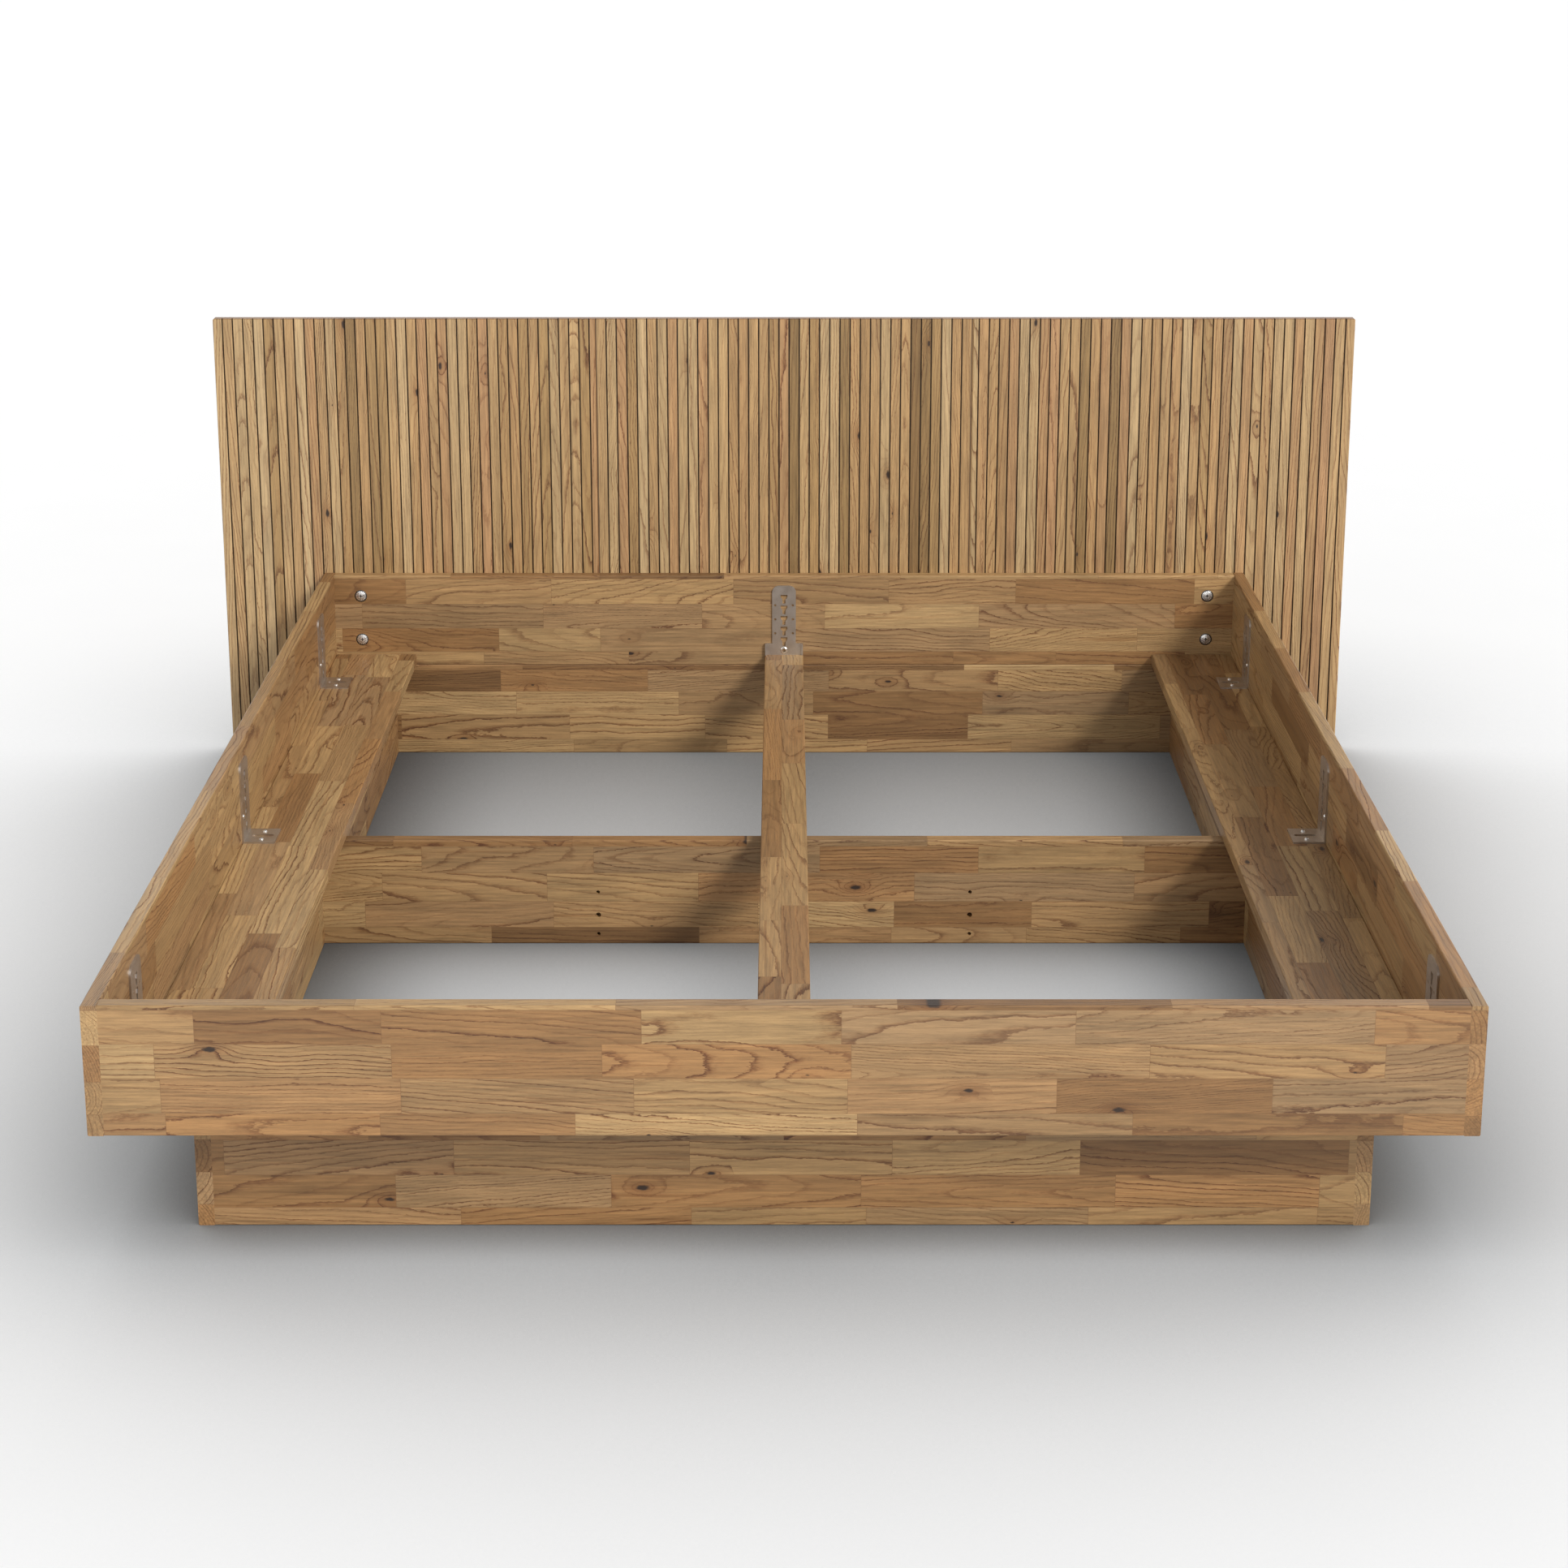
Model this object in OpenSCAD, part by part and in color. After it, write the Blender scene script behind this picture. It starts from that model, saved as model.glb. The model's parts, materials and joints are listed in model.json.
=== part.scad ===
// Low double bed in oak glued board: four rails on a recessed base, with a grooved headboard behind.
// X runs across the bed, Y from the foot to the head and Z up. The origin is on the floor, under
// the middle of the outline. Every length is in millimetres.

/* [Rails] */
// Width over the two side rails
bed_w = 1850; // [1500:10:2400]
// Length from the front of the footboard to the back of the head rail
bed_l = 2050; // [1700:10:2500]
// Thickness of the rail and base boards
board_t = 22.5; // [21:0.5:30]
// Height of the rail boards
rail_h = 187; // [150:1:240]
// Radius of the boards' long edges
edge_r = 2; // [1:0.5:4]

/* [Base] */
// Height of the base, which is the height of the rails' lower edge
base_h = 187.5; // [150:0.5:260]
// From a side rail's outer face in to the base's side panel
base_inset = 118; // [60:1:150]
// From the footboard's front face back to the base's front panel
base_setback = 103; // [80:1:200]
// From the middle of the cross panel to each row of pilot holes
pilot_x = 316; // [150:1:500]
// Depth of the pilot holes
pilot_depth = 12; // [8:1:16]

/* [Support boards and beam] */
// Width of each side support board
ledge_w = 160.5; // [135:0.5:240]
// Thickness of the side support boards and of the centre beam
ledge_t = 22; // [18:0.5:30]
// Width of the centre beam
beam_w = 77; // [60:1:120]

/* [Brackets] */
// Thickness of the bracket steel
steel_t = 3; // [2:0.5:4]
// Width of an angle bracket
angle_w = 62; // [50:1:80]
// Height of an angle bracket's leg above its support board
angle_h = 137.5; // [132:0.5:145]
// Length of an angle bracket's foot, out from the side rail
angle_foot = 54; // [46:1:70]
// From each end of the bed to the nearest angle bracket's middle
angle_end = 210; // [120:5:400]
// Width of a centre bracket's narrow upper part
plate_w = 47.5; // [44:0.5:60]
// Width of a centre bracket's lower part
shoe_w = 76; // [70:1:76]
// Height of a centre bracket's wide part above the beam
shoe_h = 24; // [20:0.5:28]
// Height of a centre bracket above the beam
plate_h = 145; // [138:0.5:150]
// Length of a centre bracket's foot under the beam
plate_foot = 45; // [30:1:55]
// Radius of the brackets' upper corners
plate_r = 14; // [5:1:20]
// Diameter of the eyelet ring at the foot of a centre bracket
eyelet_d = 14; // [10:0.5:16]

/* [Corner fittings] */
// Diameter of a cam
cam_d = 24; // [20:0.5:30]
// From a side rail's inner face to a cam's middle
cam_inset = 52.5; // [40:0.5:80]
// From the rails' upper edge down to the upper cams
cam_drop = 42.5; // [30:0.5:60]
// From the rails' lower edge up to the lower cams
cam_rise = 53.5; // [30:0.5:60]
// Gap all round a cam in its bore
cam_gap = 0.5; // [0.3:0.1:1]
// Diameter of the wooden dowels
dowel_d = 8; // [6:1:10]

/* [Headboard] */
// Width of the headboard
headboard_w = 2250; // [1600:10:3000]
// Height of the headboard above the floor
headboard_h = 894; // [700:1:1200]
// Thickness of the headboard
headboard_t = 18; // [14:0.5:25]
// Width of the headboard's centre panel
centre_panel_w = 746; // [500:1:1000]
// Slat pitch, groove middle to groove middle
slat_pitch = 20.05; // [16:0.05:30]
// From the headboard's outer edge to the first groove
edge_slat = 18.7; // [12:0.1:25]
// Width of a groove
groove_w = 2.4; // [1:0.1:4]
// Depth of a groove
groove_d = 5; // [2:0.5:8]
// Width of the battens behind the headboard
batten_w = 60; // [40:1:90]
// Thickness of the battens
batten_t = 20; // [15:1:30]
// From the headboard's edges in to the ends of the battens
batten_inset = 60; // [30:5:150]

/* [Hidden] */
$fn = 48;

LEFT = -1;
RIGHT = 1;
FOOT = -1;
HEAD = 1;
eps = 0.01;

// Places shared by pieces that meet
half_w = bed_w / 2;
inner_x = half_w - board_t;
inner_l = bed_l - 2 * board_t;
rail_top = base_h + rail_h;
ledge_top = base_h + ledge_t;
base_w = bed_w - 2 * base_inset;
base_inner_x = base_w / 2 - board_t;
base_l = bed_l - base_setback;
base_mid_y = base_setback + base_l / 2;
overall_l = bed_l + headboard_t + batten_t;

// Hole pattern that both kinds of bracket share, measured down from the bracket's top
slot_first = 19.2;
slot_pitch = 22.2;
slot_count = 5;
slot_head_w = 13.7;
slot_neck_w = 6;
slot_head_h = 5;
slot_taper_h = 10;
slot_h = 18.4;
side_hole_x = 17.7;
side_hole_d = 5;
side_hole_first = 41;
side_hole_pitch = 29.4;
side_hole_count = 3;

// Screws, each with a shank that fills its pilot bore
screw_d = 4;
screw_reach = 15;
leg_screw_head_d = 5;
pan_head_d = 8;
pan_head_h = 2.6;
pan_screw_edge = 5;
pan_screw_z = 46;
foot_screw_y = 18;
foot_screw_x = 29.5;
foot_slot_l = 36;
foot_slot_w = 9;
shoe_screw_x = 25;
beam_screw_x = 22;
lip_d = 4;
eyelet_z = 9.6;
eyelet_bore = 6.5;
eyelet_t = 1.5;

// Cam fitting
cam_bore_d = cam_d + 2 * cam_gap;
cam_sink = 0.4;
cam_floor = 1.45;
bolt_d = 6;
bolt_bore_d = 8;
bolt_neck_d = 5;
bolt_neck_l = 9.5;
bolt_head_d = 8;
bolt_head_l = 3.5;
bolt_head_from = 3;
bolt_grip = 12;
cavity_d = 17;
cavity_h = 8.8;
cam_bore_h = board_t / 2 + cavity_h / 2 + cam_floor + cam_sink;
slot_gap = 0.4;
slot_spare = 24;
cam_turn = 180;
flute_count = 16;
dowel_l = 38;
dowel_grip = 14;

// Base corners
base_screw_d = 5;
base_screw_head_d = 10;
base_screw_head_h = 4;
base_screw_l = 55;
board_dowel_l = 30;

// Headboard
arris = 0.5;
panel_arris = 1.5;
corner_cut = 2.5;
last_slat_min = 8;
batten_low_z = 60;
batten_high_drop = 190;
headboard_bolt_d = 8;
headboard_bolt_head_d = 16;
headboard_bolt_head_h = 4;
headboard_bolt_grip = 16;
headboard_bolt_xs = [200, 555];
batten_screw_reach = 12;

// Middles of the angle brackets along the bed, and the ones of the base's three cross boards
function angle_y(end) = end == 0 ? bed_l / 2 : end == FOOT ? angle_end : bed_l - angle_end;
cross_ys = [base_setback + board_t / 2, base_mid_y, bed_l - board_t / 2];
cam_zs = [base_h + cam_rise, rail_top - cam_drop];
function end_mid_y(end) = end == FOOT ? board_t / 2 : bed_l - board_t / 2;
function end_inner_y(end) = end == FOOT ? board_t : bed_l - board_t;

oak = [0.72, 0.55, 0.37];
dark_oak = [0.55, 0.40, 0.26];
steel = [0.60, 0.58, 0.56];
bright_steel = [0.80, 0.80, 0.80];
beech = [0.83, 0.70, 0.52];

// Moves what is drawn from the footboard's front face to the frame's origin
module placed() {
  translate([0, -overall_l / 2, 0]) children();
}

// ---- Boards ----

module rounded_section(a, b, r) {
  translate([r, 0]) square([a - 2 * r, b]);
  translate([0, r]) square([a, b - 2 * r]);
  for (x = [r, a - r], y = [r, b - r]) translate([x, y]) circle(r);
}

// Board whose grain and rounded edges run along X, centred on X
module board_x(l, d, h) {
  translate([-l / 2, 0, 0])
    rotate([90, 0, 90])
      linear_extrude(l) rounded_section(d, h, edge_r);
}

// Board whose grain and rounded edges run along Y, with its low corner at the origin
module board_y(w, l, h) {
  translate([0, l, 0])
    rotate([90, 0, 0])
      linear_extrude(l) rounded_section(w, h, edge_r);
}

// ---- Drilling and fastener patterns ----

// Points children's +Z into the bed from a side rail's inner face
module from_side(side, y, z) {
  translate([side * inner_x, y, z]) rotate([0, -side * 90, 0]) children();
}

// Puts children at an end rail's inner face, with +Z pointing into the bed
module from_end(end, x, z) {
  translate([x, end_inner_y(end), z]) rotate([end * 90, 0, 0]) children();
}

module at_side_holes(top) {
  for (x = [-side_hole_x, side_hole_x], i = [0 : side_hole_count - 1])
    translate([x, top - side_hole_first - i * side_hole_pitch]) children();
}

// The four side holes of an angle bracket's leg that carry screws, seen from inside the bed
module at_leg_screws() {
  for (x = [-side_hole_x, side_hole_x], i = [0, 1])
    translate([x, angle_h - side_hole_first - i * side_hole_pitch, steel_t]) children();
}

module at_angle_leg(side, end) {
  translate([side * inner_x, angle_y(end), ledge_top])
    rotate([90, 0, -side * 90]) children();
}

module at_pan_screw(side, end) {
  at_angle_leg(side, end)
    translate([side * (angle_w / 2 - pan_screw_edge), pan_screw_z, steel_t]) children();
}

module at_foot_screws(side, end) {
  for (y = [-foot_screw_y, foot_screw_y])
    translate([side * (inner_x - foot_screw_x), angle_y(end) + y, ledge_top + steel_t]) children();
}

module at_shoe_screws(end) {
  for (x = [-shoe_screw_x, shoe_screw_x])
    from_end(end, x, base_h + ledge_t / 2) translate([0, 0, steel_t]) children();
}

module at_beam_screws(end) {
  for (x = [-beam_screw_x, beam_screw_x])
    translate([x, end_inner_y(end) - end * (steel_t + plate_foot / 2), base_h - steel_t])
      rotate([180, 0, 0]) children();
}

// Middle of the slat nearest to x, on the centre panel and on the right side panel
function centre_slat_x(x) = round(x / slat_pitch) * slat_pitch;
function side_slat_x(x) =
  let (first = headboard_w / 2 - edge_slat - slat_pitch / 2)
  first - round((first - x) / slat_pitch) * slat_pitch;
function slat_x(x) = x < centre_panel_w / 2 ? centre_slat_x(x) : side_slat_x(x);

module at_headboard_bolts() {
  for (x = headboard_bolt_xs, s = [LEFT, RIGHT])
    translate([s * slat_x(x), bed_l + headboard_t, (base_h + rail_top) / 2]) rotate([-90, 0, 0]) children();
}

module at_batten_screws(z) {
  w = centre_panel_w / 2;
  outer = headboard_w / 2 - batten_inset;
  for (x = [w / 3, w * 0.85, w + (outer - w) * 0.12, outer - 40], s = [LEFT, RIGHT])
    translate([s * x, overall_l, z + batten_w / 2]) rotate([-90, 0, 0]) children();
}

module at_base_screws(side) {
  for (y = cross_ys, z = [0.25, 0.75])
    translate([side * base_w / 2, y, base_h * z]) rotate([0, side * 90, 0]) children();
}

module at_base_dowels(side) {
  for (y = cross_ys)
    translate([side * base_inner_x, y, base_h / 2]) rotate([0, side * 90, 0]) children();
}

module at_board_dowels(side) {
  for (y = [base_setback + base_l * 0.15, base_setback + base_l * 0.55, base_setback + base_l * 0.9])
    translate([side * (base_w / 2 - board_t / 2), y, base_h]) children();
}

// Shank bore: its mouth is at the origin and it runs down -Z
module pilot(d, depth) {
  translate([0, 0, -depth]) cylinder(d = d, h = depth + eps);
}

module cross_recess(size, depth) {
  for (a = [0, 90])
    rotate([0, 0, a]) translate([-size / 2, -size / 8, -depth]) cube([size, size / 4, depth + 1]);
}

// Wood screw with a domed head that rests on z = 0
module pan_screw(depth) {
  difference() {
    rotate_extrude()
      polygon([[0, -depth], [screw_d / 2, -depth], [screw_d / 2, 0], [pan_head_d / 2, 0],
               [pan_head_d / 2, pan_head_h * 0.4], [pan_head_d * 0.38, pan_head_h * 0.8],
               [pan_head_d * 0.2, pan_head_h], [0, pan_head_h]]);
    translate([0, 0, pan_head_h]) cross_recess(pan_head_d * 0.5, pan_head_h * 0.6);
  }
}

// Wood screw whose flat head ends level with z = 0 and is as thick as a bracket
module flat_screw(head_d, head_h, d, depth) {
  difference() {
    union() {
      translate([0, 0, -head_h]) cylinder(d = head_d, h = head_h);
      translate([0, 0, -depth]) cylinder(d = d, h = depth - head_h);
    }
    cross_recess(head_d * 0.6, min(head_h, head_d) * 0.4);
  }
}

// ---- Rails ----

module side_rail(side) {
  color(oak) placed() difference() {
    translate([side == LEFT ? -half_w : inner_x, 0, base_h]) board_y(board_t, bed_l, rail_h);
    for (end = [FOOT, HEAD]) {
      for (z = cam_zs) from_side(side, end_mid_y(end), z) pilot(bolt_d, bolt_grip);
      from_side(side, end_mid_y(end), (cam_zs[0] + cam_zs[1]) / 2) pilot(dowel_d, dowel_grip);
    }
    for (end = [FOOT, 0, HEAD]) {
      at_angle_leg(side, end) at_leg_screws() pilot(screw_d, screw_reach + steel_t);
      at_pan_screw(side, end) pilot(screw_d, screw_reach + steel_t);
    }
  }
}

module end_rail(end) {
  color(oak) placed() difference() {
    translate([0, end == FOOT ? 0 : bed_l - board_t, base_h]) board_x(2 * inner_x, board_t, rail_h);
    for (side = [LEFT, RIGHT]) {
      for (z = cam_zs) {
        from_end(end, side * (inner_x - cam_inset), z) pilot(cam_bore_d, cam_bore_h);
        from_side(side, end_mid_y(end), z) mirror([0, 0, 1]) pilot(bolt_bore_d, cam_inset);
      }
      from_side(side, end_mid_y(end), (cam_zs[0] + cam_zs[1]) / 2)
        mirror([0, 0, 1]) pilot(dowel_d, dowel_l - dowel_grip);
    }
    at_shoe_screws(end) pilot(screw_d, screw_reach + steel_t);
    if (end == HEAD) at_headboard_bolts() pilot(headboard_bolt_d, headboard_t + headboard_bolt_grip);
  }
}

// ---- Base ----

module base_cross_board(y, drilled) {
  color(oak) placed() difference() {
    translate([0, y - board_t / 2, 0]) board_x(2 * base_inner_x, board_t, base_h);
    for (side = [LEFT, RIGHT]) {
      at_base_screws(side) pilot(base_screw_d, base_screw_l);
      at_base_dowels(side) pilot(dowel_d, dowel_l - dowel_grip);
      if (drilled)
        for (hole = [[0, 6.3], [41.5, 8.7], [76, 6.3]])
          translate([side * pilot_x, y - board_t / 2, base_h / 2 - hole[0]])
            rotate([90, 0, 0]) pilot(hole[1], pilot_depth);
    }
  }
}

module base_side(side) {
  color(oak) placed() difference() {
    translate([side == LEFT ? -base_w / 2 : base_inner_x, base_setback, 0])
      board_y(board_t, base_l, base_h);
    at_base_screws(side) {
      pilot(base_screw_d, board_t + eps);
      pilot(base_screw_head_d, base_screw_head_h);
    }
    at_base_dowels(side) mirror([0, 0, 1]) pilot(dowel_d, dowel_grip);
    at_board_dowels(side) pilot(dowel_d, board_dowel_l / 2);
  }
}

// ---- Support boards and beam ----

module support_board(side) {
  color(oak) placed() difference() {
    translate([side == LEFT ? -inner_x : inner_x - ledge_w, board_t, base_h])
      board_y(ledge_w, inner_l, ledge_t);
    for (end = [FOOT, 0, HEAD]) at_foot_screws(side, end) pilot(screw_d, screw_reach + steel_t);
    at_board_dowels(side) mirror([0, 0, 1]) pilot(dowel_d, board_dowel_l / 2);
  }
}

module centre_beam() {
  color(oak) placed() difference() {
    translate([-beam_w / 2, board_t + steel_t, base_h]) board_y(beam_w, inner_l - 2 * steel_t, ledge_t);
    for (end = [FOOT, HEAD]) at_beam_screws(end) pilot(screw_d, screw_reach + steel_t);
  }
}

// ---- Brackets ----

// Slot that is wide at the top, to take a hook's head, and narrow below
module hook_slot() {
  polygon([[-slot_head_w / 2, 0], [slot_head_w / 2, 0], [slot_head_w / 2, -slot_head_h],
           [slot_neck_w / 2, -slot_taper_h], [slot_neck_w / 2, -slot_h], [-slot_neck_w / 2, -slot_h],
           [-slot_neck_w / 2, -slot_taper_h], [-slot_head_w / 2, -slot_head_h]]);
}

// Upright strip with rounded upper corners and its foot edge on y = 0
module strip(w, h, r) {
  translate([-w / 2, 0]) square([w, h - r]);
  translate([-w / 2 + r, 0]) square([w - 2 * r, h]);
  for (x = [r - w / 2, w / 2 - r]) translate([x, h - r]) circle(r);
}

module slots_and_holes(top) {
  for (i = [0 : slot_count - 1]) translate([0, top - slot_first - i * slot_pitch]) hook_slot();
  at_side_holes(top) circle(d = side_hole_d);
}

module angle_bracket(side, end) {
  color(steel) placed() {
    at_angle_leg(side, end) linear_extrude(steel_t) difference() {
      strip(angle_w, angle_h, plate_r);
      slots_and_holes(angle_h);
      translate([side * (angle_w / 2 - pan_screw_edge), pan_screw_z]) circle(d = screw_d);
    }
    translate([side * inner_x, angle_y(end), ledge_top])
      mirror([side == RIGHT ? 1 : 0, 0, 0])
        linear_extrude(steel_t) difference() {
          translate([0, -angle_w / 2]) square([angle_foot, angle_w]);
          translate([foot_screw_x - (foot_slot_l - foot_slot_w) / 2, 0]) slot_outline();
          for (y = [-foot_screw_y, foot_screw_y]) translate([foot_screw_x, y]) circle(d = screw_d);
        }
  }
}

// Slot with round ends that starts at the origin and runs along X
module slot_outline() {
  l = foot_slot_l - foot_slot_w;
  translate([0, -foot_slot_w / 2]) square([l, foot_slot_w]);
  for (x = [0, l]) translate([x, 0]) circle(d = foot_slot_w);
}

module centre_bracket(end) {
  drop = ledge_t + steel_t;
  color(steel) placed() {
    from_end(end, 0, ledge_top) mirror([0, end == HEAD ? 0 : 1, 0]) {
      linear_extrude(steel_t) difference() {
        union() {
          strip(plate_w, plate_h, plate_r);
          translate([-shoe_w / 2, -drop]) square([shoe_w, drop + shoe_h]);
        }
        slots_and_holes(plate_h);
        translate([0, eyelet_z]) circle(d = eyelet_bore);
        for (x = [-shoe_screw_x, shoe_screw_x]) translate([x, -ledge_t / 2]) circle(d = leg_screw_head_d);
      }
      for (x = [-shoe_w / 2, shoe_w / 2 - steel_t])
        translate([x, 0, steel_t - eps]) cube([steel_t, shoe_h, lip_d + eps]);
      translate([0, -drop, steel_t - eps]) rotate([-90, 0, 0]) mirror([0, 1, 0])
        linear_extrude(steel_t) difference() {
          translate([-shoe_w / 2, 0]) square([shoe_w, plate_foot + eps]);
          for (x = [-beam_screw_x, beam_screw_x]) translate([x, plate_foot / 2 + eps]) circle(d = screw_d);
        }
    }
  }
}

module eyelet(end) {
  color(bright_steel) placed()
    from_end(end, 0, ledge_top + eyelet_z) translate([0, 0, steel_t])
      difference() {
        rotate_extrude()
          polygon([[0, 0], [eyelet_d / 2, 0], [eyelet_d / 2, eyelet_t * 0.4],
                   [eyelet_d * 0.4, eyelet_t], [0, eyelet_t]]);
        translate([0, 0, -eps]) cylinder(d = eyelet_bore, h = eyelet_t + 2 * eps);
      }
}

module angle_leg_screws() {
  color(bright_steel) placed()
    for (side = [LEFT, RIGHT], end = [FOOT, 0, HEAD])
      at_angle_leg(side, end) at_leg_screws()
        flat_screw(leg_screw_head_d, steel_t, screw_d, screw_reach + steel_t);
}

module angle_pan_screws() {
  color(bright_steel) placed()
    for (side = [LEFT, RIGHT], end = [FOOT, 0, HEAD])
      at_pan_screw(side, end) pan_screw(screw_reach + steel_t);
}

module angle_foot_screws() {
  color(bright_steel) placed()
    for (side = [LEFT, RIGHT], end = [FOOT, 0, HEAD])
      at_foot_screws(side, end) pan_screw(screw_reach + steel_t);
}

module centre_bracket_screws() {
  color(bright_steel) placed()
    for (end = [FOOT, HEAD])
      at_shoe_screws(end) flat_screw(leg_screw_head_d, steel_t, screw_d, screw_reach + steel_t);
}

module beam_screws() {
  color(bright_steel) placed()
    for (end = [FOOT, HEAD]) at_beam_screws(end) pan_screw(screw_reach + steel_t);
}

// ---- Corner fittings ----

// Sector that starts at angle a and turns back through sweep degrees
module sector(a, sweep, r) {
  polygon(concat([[0, 0]], [for (i = [0 : 8]) r * [cos(a - sweep * i / 8), sin(a - sweep * i / 8)]]));
}

// Cam drawn with its face on top, its bore's mouth at z = 0 and its bolt coming from +X
module cam_shape() {
  mid = -board_t / 2;
  difference() {
    translate([0, 0, cam_sink - cam_bore_h]) cylinder(d = cam_d, h = cam_bore_h - 2 * cam_sink);
    translate([0, 0, mid - cavity_h / 2]) cylinder(d = cavity_d, h = cavity_h);
    translate([0, 0, mid - bolt_neck_d / 2 - slot_gap])
      linear_extrude(bolt_neck_d + 2 * slot_gap) sector(slot_spare, cam_turn + 2 * slot_spare, cam_d);
    translate([0, 0, -cam_sink]) cross_recess(cam_d * 0.3, 2.5);
    for (i = [0 : flute_count - 1])
      rotate([0, 0, i * 360 / flute_count])
        translate([cam_d * 0.2, -0.45, -cam_sink - 0.6]) cube([cam_d, 0.9, 2]);
  }
}

module cam(end, side, level) {
  color(bright_steel) placed()
    from_end(end, side * (inner_x - cam_inset), cam_zs[level])
      rotate([0, 0, side == RIGHT ? 0 : 180]) cam_shape();
}

module cam_bolts(end) {
  neck_from = cam_inset - bolt_head_from - bolt_head_l;
  color(bright_steel) placed()
    for (side = [LEFT, RIGHT], z = cam_zs)
      from_side(side, end_mid_y(end), z) {
        translate([0, 0, -bolt_grip]) cylinder(d = bolt_d, h = bolt_grip + neck_from - bolt_neck_l);
        translate([0, 0, neck_from - bolt_neck_l - eps])
          cylinder(d = bolt_neck_d, h = bolt_neck_l + 2 * eps);
        translate([0, 0, neck_from]) cylinder(d = bolt_head_d, h = bolt_head_l);
      }
}

module rail_dowels() {
  color(beech) placed()
    for (side = [LEFT, RIGHT], end = [FOOT, HEAD])
      from_side(side, end_mid_y(end), (cam_zs[0] + cam_zs[1]) / 2)
        translate([0, 0, -dowel_grip]) cylinder(d = dowel_d, h = dowel_l);
}

module base_dowels() {
  color(beech) placed()
    for (side = [LEFT, RIGHT])
      at_base_dowels(side) translate([0, 0, dowel_grip - dowel_l]) cylinder(d = dowel_d, h = dowel_l);
}

module base_screws() {
  color(bright_steel) placed()
    for (side = [LEFT, RIGHT])
      at_base_screws(side)
        flat_screw(base_screw_head_d, base_screw_head_h, base_screw_d, base_screw_l);
}

module board_dowels() {
  color(beech) placed()
    for (side = [LEFT, RIGHT])
      at_board_dowels(side)
        translate([0, 0, -board_dowel_l / 2]) cylinder(d = dowel_d, h = board_dowel_l);
}

// ---- Headboard ----

// Outline of a grooved panel from above: x0 to x1 wide, front face on y = 0, grooves at the xs given
module grooved_section(x0, x1, grooves) {
  r = groove_w / 2;
  front = [for (g = grooves) each [[g - r - arris, 0], [g - r, arris], [g - r, groove_d],
                                   [g + r, groove_d], [g + r, arris], [g + r + arris, 0]]];
  polygon(concat([[x0, panel_arris], [x0 + panel_arris, 0]], front,
                 [[x1 - panel_arris, 0], [x1, panel_arris], [x1, headboard_t], [x0, headboard_t]]));
}

module headboard_panel(x0, x1, grooves) {
  color(oak) placed() difference() {
    translate([0, bed_l, 0]) linear_extrude(headboard_h) grooved_section(x0, x1, grooves);
    translate([0, bed_l, headboard_h]) rotate([45, 0, 0])
      cube([2 * headboard_w, panel_arris * sqrt(2), panel_arris * sqrt(2)], center = true);
    for (s = [LEFT, RIGHT])
      translate([s * headboard_w / 2, bed_l + headboard_t / 2, headboard_h]) rotate([0, 45, 0])
        cube([corner_cut * sqrt(2), 2 * headboard_t, corner_cut * sqrt(2)], center = true);
    at_headboard_bolts() pilot(headboard_bolt_d, 2 * headboard_t);
    for (z = batten_zs()) at_batten_screws(z) pilot(screw_d, batten_t + batten_screw_reach);
  }
}

function batten_zs() = [batten_low_z, headboard_h - batten_high_drop];

// Grooves counted from the headboard's outer edge for a side panel, and from its middle for the centre one
function side_grooves(w) =
  [for (i = [0 : floor((w - edge_slat - last_slat_min) / slat_pitch)]) edge_slat + i * slat_pitch];
function centre_grooves(w) =
  let (n = floor((w / 2 - last_slat_min) / slat_pitch + 0.5))
  [for (i = [0 : 2 * n - 1]) (i - n + 0.5) * slat_pitch];

module headboard_side(side) {
  w = (headboard_w - centre_panel_w) / 2;
  xs = side_grooves(w);
  edge = headboard_w / 2;
  if (side == LEFT) headboard_panel(-edge, w - edge, [for (g = xs) g - edge]);
  else headboard_panel(edge - w, edge, [for (i = [len(xs) - 1 : -1 : 0]) edge - xs[i]]);
}

module headboard_centre() {
  headboard_panel(-centre_panel_w / 2, centre_panel_w / 2, centre_grooves(centre_panel_w));
}

module batten(z) {
  color(dark_oak) placed() difference() {
    translate([0, bed_l + headboard_t, z]) board_x(headboard_w - 2 * batten_inset, batten_t, batten_w);
    at_batten_screws(z) {
      pilot(screw_d, batten_t + eps);
      pilot(pan_head_d, steel_t);
    }
  }
}

module batten_screws() {
  color(bright_steel) placed()
    for (z = batten_zs())
      at_batten_screws(z) flat_screw(pan_head_d, steel_t, screw_d, batten_t + batten_screw_reach);
}

module headboard_bolts() {
  depth = headboard_t + headboard_bolt_grip;
  color(bright_steel) placed()
    at_headboard_bolts() {
      translate([0, 0, -depth]) cylinder(d = headboard_bolt_d, h = depth);
      difference() {
        cylinder(d = headboard_bolt_head_d, h = headboard_bolt_head_h);
        translate([0, 0, headboard_bolt_head_h]) cross_recess(headboard_bolt_d, headboard_bolt_head_h / 2);
      }
    }
}

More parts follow.
